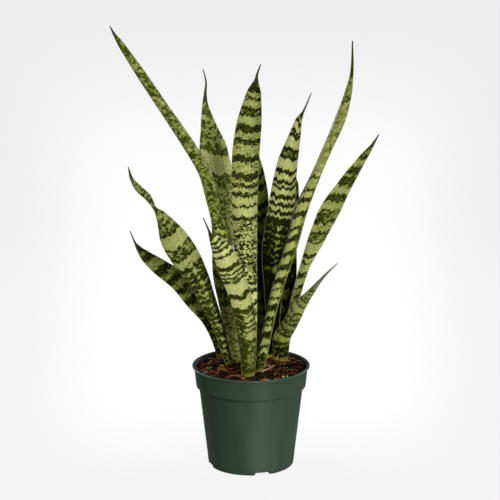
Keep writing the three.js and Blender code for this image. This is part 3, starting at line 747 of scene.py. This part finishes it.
def leaf_skin(name, leaf, length, seed):
    """Waxy leaf skin: pale cross bands with wavy edges on dark green, mid green where they meet, fine
    flecks, a thin dry margin, a brown dry tip and a yellowed foot, with painted light and shade in its
    greens and towards its margins. Smooth and slightly glossy."""
    material, tree = new_material("waxy_skin_" + name.replace("leaf_", ""))
    place = add(tree, "ShaderNodeAttribute", attribute_name="blade_place").outputs["Vector"]
    ends = add(tree, "ShaderNodeAttribute", attribute_name="blade_reach").outputs["Vector"]
    across, along, through = add(tree, "ShaderNodeSeparateXYZ", {0: place}).outputs
    reach = add(tree, "ShaderNodeSeparateXYZ", {0: ends}).outputs
    start = tuple(seed * step for step in NOISE_START)
    uneven = {
        key: noise_texture(tree, stretched(tree, place, size, start), 1.0, detail)
        for key, (size, detail) in UNEVENNESS.items()
    }
    bent = bent_along(tree, leaf, across, along, uneven)
    marked = band_tone(tree, leaf, across, bent, length)
    fleck_place = add(tree, "ShaderNodeCombineXYZ", {0: across, 1: bent, 2: through})
    tone = flecked(tree, leaf, marked, fleck_place, uneven["cloud"], start)
    low_until, high_from = leaf.get("turn", GREENS_TURN)
    height_share = ranged(tree, along, low_until * length, high_from * length)
    green = banded_green(tree, leaf, tone, height_share)
    # Streaks and mottles, with painted light and shade on the blade's sides
    light = streaks_and_painted_side_light(tree, leaf, across, reach[0], height_share, uneven)
    lit = add(tree, "ShaderNodeVectorMath", {0: green, "Scale": light}, operation="SCALE")
    colour, tip_share = foot_margin_and_tip(tree, leaf, lit, uneven["cloud"], reach)
    roughness = ranged(tree, tip_share, 0.0, 1.0, BLADE_ROUGHNESS, TIP_ROUGHNESS)
    surface = add(
        tree, "ShaderNodeBsdfPrincipled",
        {"Base Color": colour, "Roughness": roughness, **BLADE_GLOSS},
    )
    finish_material(tree, surface, height=uneven["streak"], relief=BLADE_RELIEF * MM, strength=0.5)
    return material


def grow_leaves():
    for seed, (name, leaf) in enumerate(LEAVES.items(), 1):
        blade, length = grow_leaf(name, leaf)
        wear(blade, leaf_skin(name, leaf, length, seed), "leaf", name)


def inner_radius(z):
    """Inside radius of the pot's wall at a height. The step inside stands a little higher than the
    one outside, so the wall keeps its thickness there."""
    steps = (
        (0.0, FOOT_RADIUS), (SHOULDER_Z + INNER_STEP_RISE, SHOULDER_RADIUS),
        (BAND_FOOT_Z + INNER_STEP_RISE, BAND_FOOT_RADIUS), (POT_HEIGHT, BAND_TOP_RADIUS),
    )
    for (z0, r0), (z1, r1) in zip(steps, steps[1:]):
        if z <= z1:
            return r0 + (r1 - r0) * (z - z0) / (z1 - z0) - WALL
    return BAND_TOP_RADIUS - WALL


def pot_profile():
    """The pot's wall as radius and height, from the pad under the floor, up the outside, over the
    lip and down the inside to the middle of the floor."""
    ring_inner = FOOT_RADIUS - FOOT_RING_WIDTH
    lip_foot = POT_HEIGHT - LIP_HEIGHT
    floor_top = DRAIN_RISE + FLOOR
    outside = [
        (PAD_RADIUS, 0), (PAD_RADIUS + DRAIN_RISE, DRAIN_RISE), (ring_inner - DRAIN_RISE, DRAIN_RISE),
        (ring_inner, 0), (FOOT_RADIUS - CORNER, 0), (FOOT_RADIUS, CORNER), (RIDGE_RADIUS, RIDGE_Z),
        (RIDGE_RADIUS, RIDGE_Z + RIDGE_HEIGHT), (SHOULDER_RADIUS, SHOULDER_Z),
        (BAND_FOOT_RADIUS - CORNER, BAND_FOOT_Z - CORNER), (BAND_FOOT_RADIUS, BAND_FOOT_Z),
        (BAND_TOP_RADIUS, lip_foot), (LIP_RADIUS - LIP_CORNER, lip_foot),
        (LIP_RADIUS, lip_foot + LIP_CORNER), (LIP_RADIUS, POT_HEIGHT - LIP_CORNER),
        (LIP_RADIUS - LIP_CORNER, POT_HEIGHT),
    ]
    step_heights = (BAND_FOOT_Z + INNER_STEP_RISE, SHOULDER_Z + INNER_STEP_RISE)
    inside = [(inner_radius(z), z) for z in (POT_HEIGHT, *step_heights, floor_top)]
    return outside + inside + [(PAD_RADIUS + DRAIN_RISE, floor_top), (PAD_RADIUS, FLOOR)]


def turn_pot():
    """The pot: one ring drawn along the profile, its two ends filled and its corners rounded."""
    profile = pot_profile()
    radius, z = profile[0]
    bpy.ops.mesh.primitive_circle_add(vertices=POT_SIDES, radius=radius * MM, location=(0, 0, 0))
    pot = bpy.context.object
    pot.name = pot.data.name = "nursery_pot"
    bpy.ops.object.mode_set(mode="EDIT")
    bpy.ops.mesh.select_all(action="SELECT")
    for next_radius, next_z in profile[1:]:
        bpy.ops.mesh.extrude_edges_move(TRANSFORM_OT_translate={"value": (0, 0, (next_z - z) * MM)})
        scale = next_radius / radius
        bpy.ops.transform.resize(value=(scale, scale, 1), center_override=(0, 0, next_z * MM))
        radius, z = next_radius, next_z
    bpy.ops.mesh.select_all(action="SELECT")
    bpy.ops.mesh.fill_holes(sides=0)
    face_outward()
    apply_modifier(
        pot, "BEVEL", width=EDGE_ROUNDING * MM, segments=2, limit_method="ANGLE",
        angle_limit=math.radians(20),
    )
    return pot


def notch_cutter(index):
    """A block with rounded edges that lies through the foot of the wall."""
    angle = math.radians(FIRST_NOTCH_DEG + index * 360 / NOTCHES - 90)
    bpy.ops.mesh.primitive_cube_add(size=1, location=(0, 0, 0))
    block = bpy.context.object
    block.data.transform(Matrix.Diagonal((NOTCH_DEPTH * MM, NOTCH_WIDTH * MM, 2 * NOTCH_HEIGHT * MM, 1)))
    apply_modifier(block, "BEVEL", width=NOTCH_CORNER * MM, segments=4)
    block.data.transform(Matrix.Rotation(angle, 4, "Z") @ Matrix.Translation((FOOT_RADIUS * MM, 0, 0)))
    return block


def make_pot():
    pot = turn_pot()
    for index in range(NOTCHES):
        block = notch_cutter(index)
        apply_modifier(pot, "BOOLEAN", operation="DIFFERENCE", solver="EXACT", object=block)
        bpy.data.objects.remove(block)
    smooth(pot, 32)
    wear(pot, moulded_plastic(), "pot_plastic", "pot")


def moulded_plastic():
    """Injection-moulded polypropylene in dark green: even, satin, with a very fine grain, faint rubbed
    patches where pots were stacked, and painted shade on the inside above the mix, which is darker there and
    dull."""
    material, tree = new_material("moulded_polypropylene")
    place = add(tree, "ShaderNodeTexCoord").outputs["Object"]
    grain = noise_texture(tree, place, PLASTIC_GRAIN * MM, 2.0)
    rubbed_place = add(tree, "ShaderNodeMapping", {"Vector": place, "Scale": RUBBED_SCALE})
    rubbed = ranged(tree, noise_texture(tree, rubbed_place, 1.0, 3.0), 0.35, 0.7)
    clean = blend(tree, rubbed, POT_COLOUR, RUBBED_COLOUR)
    flat_place = add(tree, "ShaderNodeVectorMath", {0: place, 1: (1, 1, 0)}, operation="MULTIPLY")
    from_axis = add(tree, "ShaderNodeVectorMath", {0: flat_place}, operation="LENGTH").outputs["Value"]
    wall_face = inner_radius(POT_HEIGHT - LIP_HEIGHT) * MM
    inside = ranged(tree, from_axis, *(wall_face + gap * MM for gap in INNER_SHADE_BELOW_FACE))
    height = add(tree, "ShaderNodeSeparateXYZ", {0: place}).outputs["Z"]
    above_mix = ranged(tree, height, *((MIX_LEVEL + rise) * MM for rise in INNER_SHADE_ABOVE_MIX))
    # Painted shade: the inside of the wall above the mix is darkened and made dull
    inner_shade = maths(tree, "MULTIPLY", inside, above_mix)
    colour = blend(tree, inner_shade, clean, INNER_SHADE_COLOUR)
    satin = ranged(tree, rubbed, 0.0, 1.0, *SATIN)
    roughness = maths(tree, "MAXIMUM", inner_shade, satin)
    surface = add(
        tree, "ShaderNodeBsdfPrincipled",
        {"Base Color": colour, "Roughness": roughness, "IOR": 1.49},
    )
    finish_material(tree, surface, height=grain, relief=0.05 * MM, strength=0.5)
    return material


MIX_RIM = inner_radius(MIX_LEVEL) - MIX_GAP


def mix_height(x, y):
    """Height of the mix over a point: a low crown with lumps that fade out at the wall."""
    reach = min(1.0, math.hypot(x, y) / MIX_RIM)
    lumps = 0.0
    for share, along_x, along_y, start in MIX_WAVES:
        lumps += share * math.sin(along_x * x + along_y * y + start)
    return MIX_LEVEL + MIX_CROWN * (1 - reach ** 2) + MIX_RELIEF * lumps * (1 - reach ** 4)


def crumb_height(x, y):
    """The mix with its crumbs."""
    rough = noise.fractal(Vector((x, y, 0)) / CRUMB_SIZE, 0.8, 2.1, 4)
    return mix_height(x, y) + CRUMB_RELIEF * rough


def lay_mix():
    """The top of the mix: a grid drawn out to a disc, raised into crumbs and given a thickness."""
    bpy.ops.mesh.primitive_grid_add(x_subdivisions=MIX_CELLS, y_subdivisions=MIX_CELLS, size=2)
    mix = bpy.context.object
    mix.name = mix.data.name = "mix_surface"
    for vertex in mix.data.vertices:
        square_x, square_y = vertex.co.x, vertex.co.y
        x = MIX_RIM * square_x * math.sqrt(1 - square_y ** 2 / 2)
        y = MIX_RIM * square_y * math.sqrt(1 - square_x ** 2 / 2)
        vertex.co = Vector((x, y, crumb_height(x, y))) * MM
    select_only(mix)
    bpy.ops.object.mode_set(mode="EDIT")
    bpy.ops.mesh.select_all(action="SELECT")
    bpy.ops.mesh.extrude_region_move(TRANSFORM_OT_translate={"value": (0, 0, -MIX_DEPTH * MM)})
    bpy.ops.transform.resize(value=(MIX_TAPER, MIX_TAPER, 1), center_override=(0, 0, 0))
    face_outward()
    smooth(mix, 50)
    wear(mix, crumbly_peat(), "potting_mix", "potting_mix")


def coloured_ramp(tree, share, stops):
    """A row of colours along a share from 0 to 1. The first two stops are its ends."""
    colour = add(tree, "ShaderNodeValToRGB", {"Fac": share})
    ramp = colour.color_ramp
    for element, (_, hex_colour) in zip(ramp.elements, stops[:2]):
        element.color = linear(hex_colour)
    for at, hex_colour in stops[2:]:
        ramp.elements.new(at).color = linear(hex_colour)
    return colour


def crumbly_peat():
    """Damp peat and ground coir: nearly black brown with redder crumbs, dull all over."""
    material, tree = new_material("peat_and_coir_mix")
    place = add(tree, "ShaderNodeTexCoord").outputs["Object"]
    crumbs = noise_texture(tree, place, PEAT_CRUMBS * MM, 4.0)
    patches = noise_texture(tree, place, PEAT_PATCHES * MM, 2.0)
    share = ranged(tree, maths(tree, "ADD", crumbs, patches), 0.95, 1.42)
    colour = coloured_ramp(tree, share, PEAT_COLOURS)
    surface = dull_surface(tree, colour, 0.92, 0.05)
    finish_material(tree, surface, height=crumbs, relief=1.2 * MM, strength=1.0)
    return material


def join_all(pieces, name):
    """Joins the pieces into one mesh of that name."""
    bpy.ops.object.select_all(action="DESELECT")
    for piece in pieces:
        piece.select_set(True)
    bpy.context.view_layer.objects.active = pieces[0]
    bpy.ops.object.join()
    joined = bpy.context.object
    joined.name = joined.data.name = name
    return joined


FIBRES = 620
FIBRE_CORNERS = 3
FIBRE_RINGS = 9
FIBRE_SEED = 11
FIBRE_LENGTHS = (6, 26)
FIBRE_THICKNESSES = (0.3, 0.75)
FIBRE_BENDS = (-1.9, 1.9)
FIBRE_LIFTS = (0.1, 2.4)
FIBRE_ABOVE_MIX = 0.5
FIBRE_TAPER = 0.7
WALL_CLEARANCE = 1.0

# A dry straw and a few pale crumbs that lie on the mix: x and y, and the size of each crumb
STRAW = ((13.0, -28.0), (32.0, 8.0))
STRAW_THICKNESS = 1.3
PALE_CRUMBS = ((42.0, -43.0, 2.0), (47.0, -38.0, 1.1), (-10.0, -48.0, 1.3), (31.0, -52.0, 1.0))


def fibre_line(draw, x, y, heading, length):
    """Points along one fibre that lies on the mix with a slack bend and a lifted middle."""
    bend = draw.uniform(*FIBRE_BENDS)
    lift = draw.uniform(*FIBRE_LIFTS)
    step = length / FIBRE_RINGS
    points = []
    for ring in range(FIBRE_RINGS + 1):
        share = ring / FIBRE_RINGS
        z = mix_height(x, y) + FIBRE_ABOVE_MIX + lift * math.sin(math.pi * share)
        points.append(Vector((x, y, z)))
        turn = heading + bend * share
        x += step * math.cos(turn)
        y += step * math.sin(turn)
        reach = math.hypot(x, y)
        limit = MIX_RIM - WALL_CLEARANCE
        if reach > limit:
            x, y = x * limit / reach, y * limit / reach
    return points


def place_fibre(pattern, line, thickness, shade):
    """A copy of the fibre pattern with its rings moved onto the line."""
    fibre = copy_of(pattern)
    shades = fibre.data.attributes.new("shade", "FLOAT", "POINT")
    for vertex in fibre.data.vertices:
        ring = round((vertex.co.z + 0.5) * FIBRE_RINGS)
        way = (line[min(ring + 1, FIBRE_RINGS)] - line[max(ring - 1, 0)]).normalized()
        side = way.cross(Vector((0, 0, 1))).normalized()
        up = side.cross(way)
        taper = 1 - FIBRE_TAPER * abs(2 * ring / FIBRE_RINGS - 1) ** 3
        offset = (side * vertex.co.x + up * vertex.co.y) * thickness / 2 * taper
        shades.data[vertex.index].value = shade
        vertex.co = (line[ring] + offset) * MM
    return fibre


def pale_crumb(x, y, size):
    """A crumb of pale bark, in the shade of the palest fibres."""
    bpy.ops.mesh.primitive_ico_sphere_add(subdivisions=2, radius=size * MM)
    crumb = bpy.context.object
    shades = crumb.data.attributes.new("shade", "FLOAT", "POINT")
    for vertex in crumb.data.vertices:
        vertex.co *= 1 + 0.4 * noise.noise(vertex.co / (size * MM))
        shades.data[vertex.index].value = 1.0
    crumb.data.transform(Matrix.Translation(Vector((x, y, mix_height(x, y) + CRUMB_RELIEF)) * MM))
    return crumb


def scatter_fibres():
    """Coir fibres lying all over the mix, with one dry straw and a few pale crumbs."""
    draw = random.Random(FIBRE_SEED)
    pattern = cut_bar(FIBRE_CORNERS, FIBRE_RINGS)
    fibres = []
    for _ in range(FIBRES):
        reach = MIX_RIM * math.sqrt(draw.random()) * 0.98
        around = draw.uniform(0, 2 * math.pi)
        heading = draw.uniform(0, 2 * math.pi)
        length = draw.uniform(*FIBRE_LENGTHS)
        line = fibre_line(draw, reach * math.cos(around), reach * math.sin(around), heading, length)
        thickness = draw.uniform(*FIBRE_THICKNESSES)
        fibres.append(place_fibre(pattern, line, thickness, draw.random()))
    lying = CRUMB_RELIEF + FIBRE_ABOVE_MIX
    start, end = (Vector((x, y, mix_height(x, y) + lying)) for x, y in STRAW)
    straw = [start.lerp(end, ring / FIBRE_RINGS) for ring in range(FIBRE_RINGS + 1)]
    fibres.append(place_fibre(pattern, straw, STRAW_THICKNESS, 1.0))
    bpy.data.objects.remove(pattern)
    fibres += [pale_crumb(x, y, size) for x, y, size in PALE_CRUMBS]
    coir = join_all(fibres, "coir_fibres")
    smooth(coir, 80)
    wear(coir, coir_fibre(), "potting_mix")


def coir_fibre():
    """Coconut fibre: dark red brown to straw, dull, each strand in its own shade."""
    material, tree = new_material("coir_fibre")
    shade = add(tree, "ShaderNodeAttribute", attribute_name="shade").outputs["Fac"]
    colour = coloured_ramp(tree, shade, FIBRE_COLOURS)
    finish_material(tree, dull_surface(tree, colour, 0.75, 0.15))
    return material


CHIPS = 420
CHIP_SEED = 5
CHIP_ROUGHNESS = 0.5
CHIP_SIZES = (0.7, 2.3)
CHIP_LENGTHS = (0.8, 1.9)
CHIP_HEIGHTS = (0.4, 0.8)
CHIP_TILTS = (-0.6, 0.6)
CHIP_ABOVE_MIX = 0.4
CHIP_CLEARANCE = 3


def scatter_chips():
    """Crumbs and small chips of bark, half sunk in the mix."""
    draw = random.Random(CHIP_SEED)
    bpy.ops.mesh.primitive_ico_sphere_add(subdivisions=2, radius=1)
    pattern = bpy.context.object
    for vertex in pattern.data.vertices:
        vertex.co *= 1 + CHIP_ROUGHNESS * noise.noise(vertex.co * 1.7)
    chips = []
    for _ in range(CHIPS):
        reach = (MIX_RIM - CHIP_CLEARANCE) * math.sqrt(draw.random())
        around = draw.uniform(0, 2 * math.pi)
        x, y = reach * math.cos(around), reach * math.sin(around)
        size = draw.uniform(*CHIP_SIZES)
        turned = Matrix.Rotation(draw.uniform(0, 6.28), 4, "Z")
        tilted = Matrix.Rotation(draw.uniform(*CHIP_TILTS), 4, "X")
        length, height = size * draw.uniform(*CHIP_LENGTHS), size * draw.uniform(*CHIP_HEIGHTS)
        form = Matrix.Diagonal((length, size, height, 1))
        place = Matrix.Translation((x, y, mix_height(x, y) + CHIP_ABOVE_MIX))
        chip = copy_of(pattern)
        chip.data.transform(Matrix.Scale(MM, 4) @ place @ turned @ tilted @ form)
        chips.append(chip)
    bpy.data.objects.remove(pattern)
    bark = join_all(chips, "bark_crumbs")
    smooth(bark, 35)
    wear(bark, composted_bark(), "potting_mix")


def composted_bark():
    """Composted bark: dark brown, some crumbs redder, dull."""
    material, tree = new_material("composted_bark")
    place = add(tree, "ShaderNodeTexCoord").outputs["Object"]
    patches = noise_texture(tree, place, BARK_PATCHES * MM, 3.0)
    colour = blend(tree, ranged(tree, patches, 0.35, 0.65), *BARK_COLOURS)
    surface = dull_surface(tree, colour, 0.88, 0.1)
    finish_material(tree, surface, height=patches, relief=0.4 * MM, strength=0.7)
    return material


# Camera at the photograph's place: in front of the plant, a little above its middle, looking down
CAMERA_PLACE = (-0.0013, -2.6, 0.926)
CAMERA_PITCH_DEG = 13.76
CAMERA_LENS = 148.75
CAMERA_SENSOR = 36.0


def place_camera():
    bpy.ops.object.camera_add(location=CAMERA_PLACE, rotation=(math.radians(90 - CAMERA_PITCH_DEG), 0, 0))
    camera = bpy.context.object
    camera.data.lens = CAMERA_LENS
    camera.data.sensor_width = CAMERA_SENSOR
    camera.data.clip_end = 200.0
    bpy.context.scene.camera = camera


# Soft boxes: where each stands, what it is aimed at, its width, its power and its spread in degrees
SOFT_BOXES = {
    "key": ((0.8, -1.5, 1.2), (0.0, 0.0, 0.3), 0.9, 23.0, 180),
    "left_key": ((-1.3, -0.9, 1.3), (0.0, 0.0, 0.3), 0.7, 9.0, 180),
    "low_right": ((0.5, -1.1, 0.1), (0.0, 0.0, 0.06), 0.35, 0.9, 50),
    "left_rim": ((-1.3, 0.9, 0.5), (0.0, 0.0, 0.25), 0.8, 7.0, 120),
    "right_rim": ((1.3, 0.9, 0.5), (0.0, 0.0, 0.25), 0.8, 7.0, 120),
}
FLOOR_RADIUS = 60.0
VIEW_DISTANCE = -CAMERA_PLACE[1]
ROOM_LIGHT = 0.045

# The glow of the paper: how bright it is, and where it starts and is full. Sideways it goes by
# metres across for each metre away, and far off by one divided by the metres away.
PAPER_COLOUR = "484848"
ROOM_COLOUR = "ededed"
GLOW = (0.85, 0.985)
GLOW_SIDEWAYS = (0.126, 0.055)
GLOW_NEAR = (2.46, 2.94)
GLOW_FAR = (0.137, 0.232)
NEAREST = 0.5


def light_studio():
    for name, (place, aim, width, power, spread) in SOFT_BOXES.items():
        bpy.ops.object.light_add(type="AREA", location=place)
        lamp = bpy.context.object
        lamp.name = name + "_soft_box"
        lamp.data.shape = "DISK"
        lamp.data.size = width
        lamp.data.energy = power
        lamp.data.spread = math.radians(spread)
        lamp.rotation_euler = (Vector(aim) - Vector(place)).to_track_quat("-Z", "Y").to_euler()
        lamp.visible_camera = False
    # The room seen behind the floor is pale, and its light on the object is faint
    world = bpy.data.worlds.new("studio")
    bpy.context.scene.world = world
    world.use_nodes = True
    background = world.node_tree.nodes["Background"]
    background.inputs["Color"].default_value = linear(ROOM_COLOUR)
    ray = add(world.node_tree, "ShaderNodeLightPath")
    strength = ranged(world.node_tree, ray.outputs["Is Camera Ray"], 0.0, 1.0, ROOM_LIGHT, 1.0)
    world.node_tree.links.new(strength.outputs["Result"], background.inputs["Strength"])
    bpy.context.scene.view_settings.view_transform = "Standard"


def lit_paper():
    """White paper sweep, brightest behind the object and a little darker towards its edges."""
    material, tree = new_material("white_paper_sweep")
    place = add(tree, "ShaderNodeTexCoord").outputs["Object"]
    sideways, away, _ = add(tree, "ShaderNodeSeparateXYZ", {0: place}).outputs
    distance = maths(tree, "ADD", away, VIEW_DISTANCE)
    in_front = maths(tree, "MAXIMUM", distance, NEAREST)
    turned = maths(tree, "ABSOLUTE", maths(tree, "DIVIDE", sideways, in_front))
    middle = ranged(tree, turned, *GLOW_SIDEWAYS, soft=True)
    near = ranged(tree, distance, *GLOW_NEAR, soft=True)
    nearness = maths(tree, "DIVIDE", 1.0, in_front)
    far = ranged(tree, nearness, *GLOW_FAR, soft=True)
    pooled = maths(tree, "MULTIPLY", maths(tree, "MULTIPLY", near, far), middle)
    surface = add(
        tree, "ShaderNodeBsdfPrincipled",
        {
            "Base Color": linear(PAPER_COLOUR), "Roughness": 0.9, "Specular IOR Level": 0.0,
            "Emission Color": (1, 1, 1, 1), "Emission Strength": ranged(tree, pooled, 0, 1, *GLOW),
        },
    )
    finish_material(tree, surface)
    return material


def lay_floor():
    """A plain pale floor that reaches past every view. Its glow doesn't light the object."""
    bpy.ops.mesh.primitive_circle_add(vertices=64, radius=FLOOR_RADIUS, fill_type="NGON", location=(0, 0, 0))
    floor = bpy.context.object
    floor.name = "studio_floor"
    floor.data.materials.append(lit_paper())
    floor.visible_diffuse = False
    floor.visible_glossy = False


place_camera()
make_pot()
lay_mix()
scatter_fibres()
scatter_chips()
grow_leaves()
lay_floor()
light_studio()
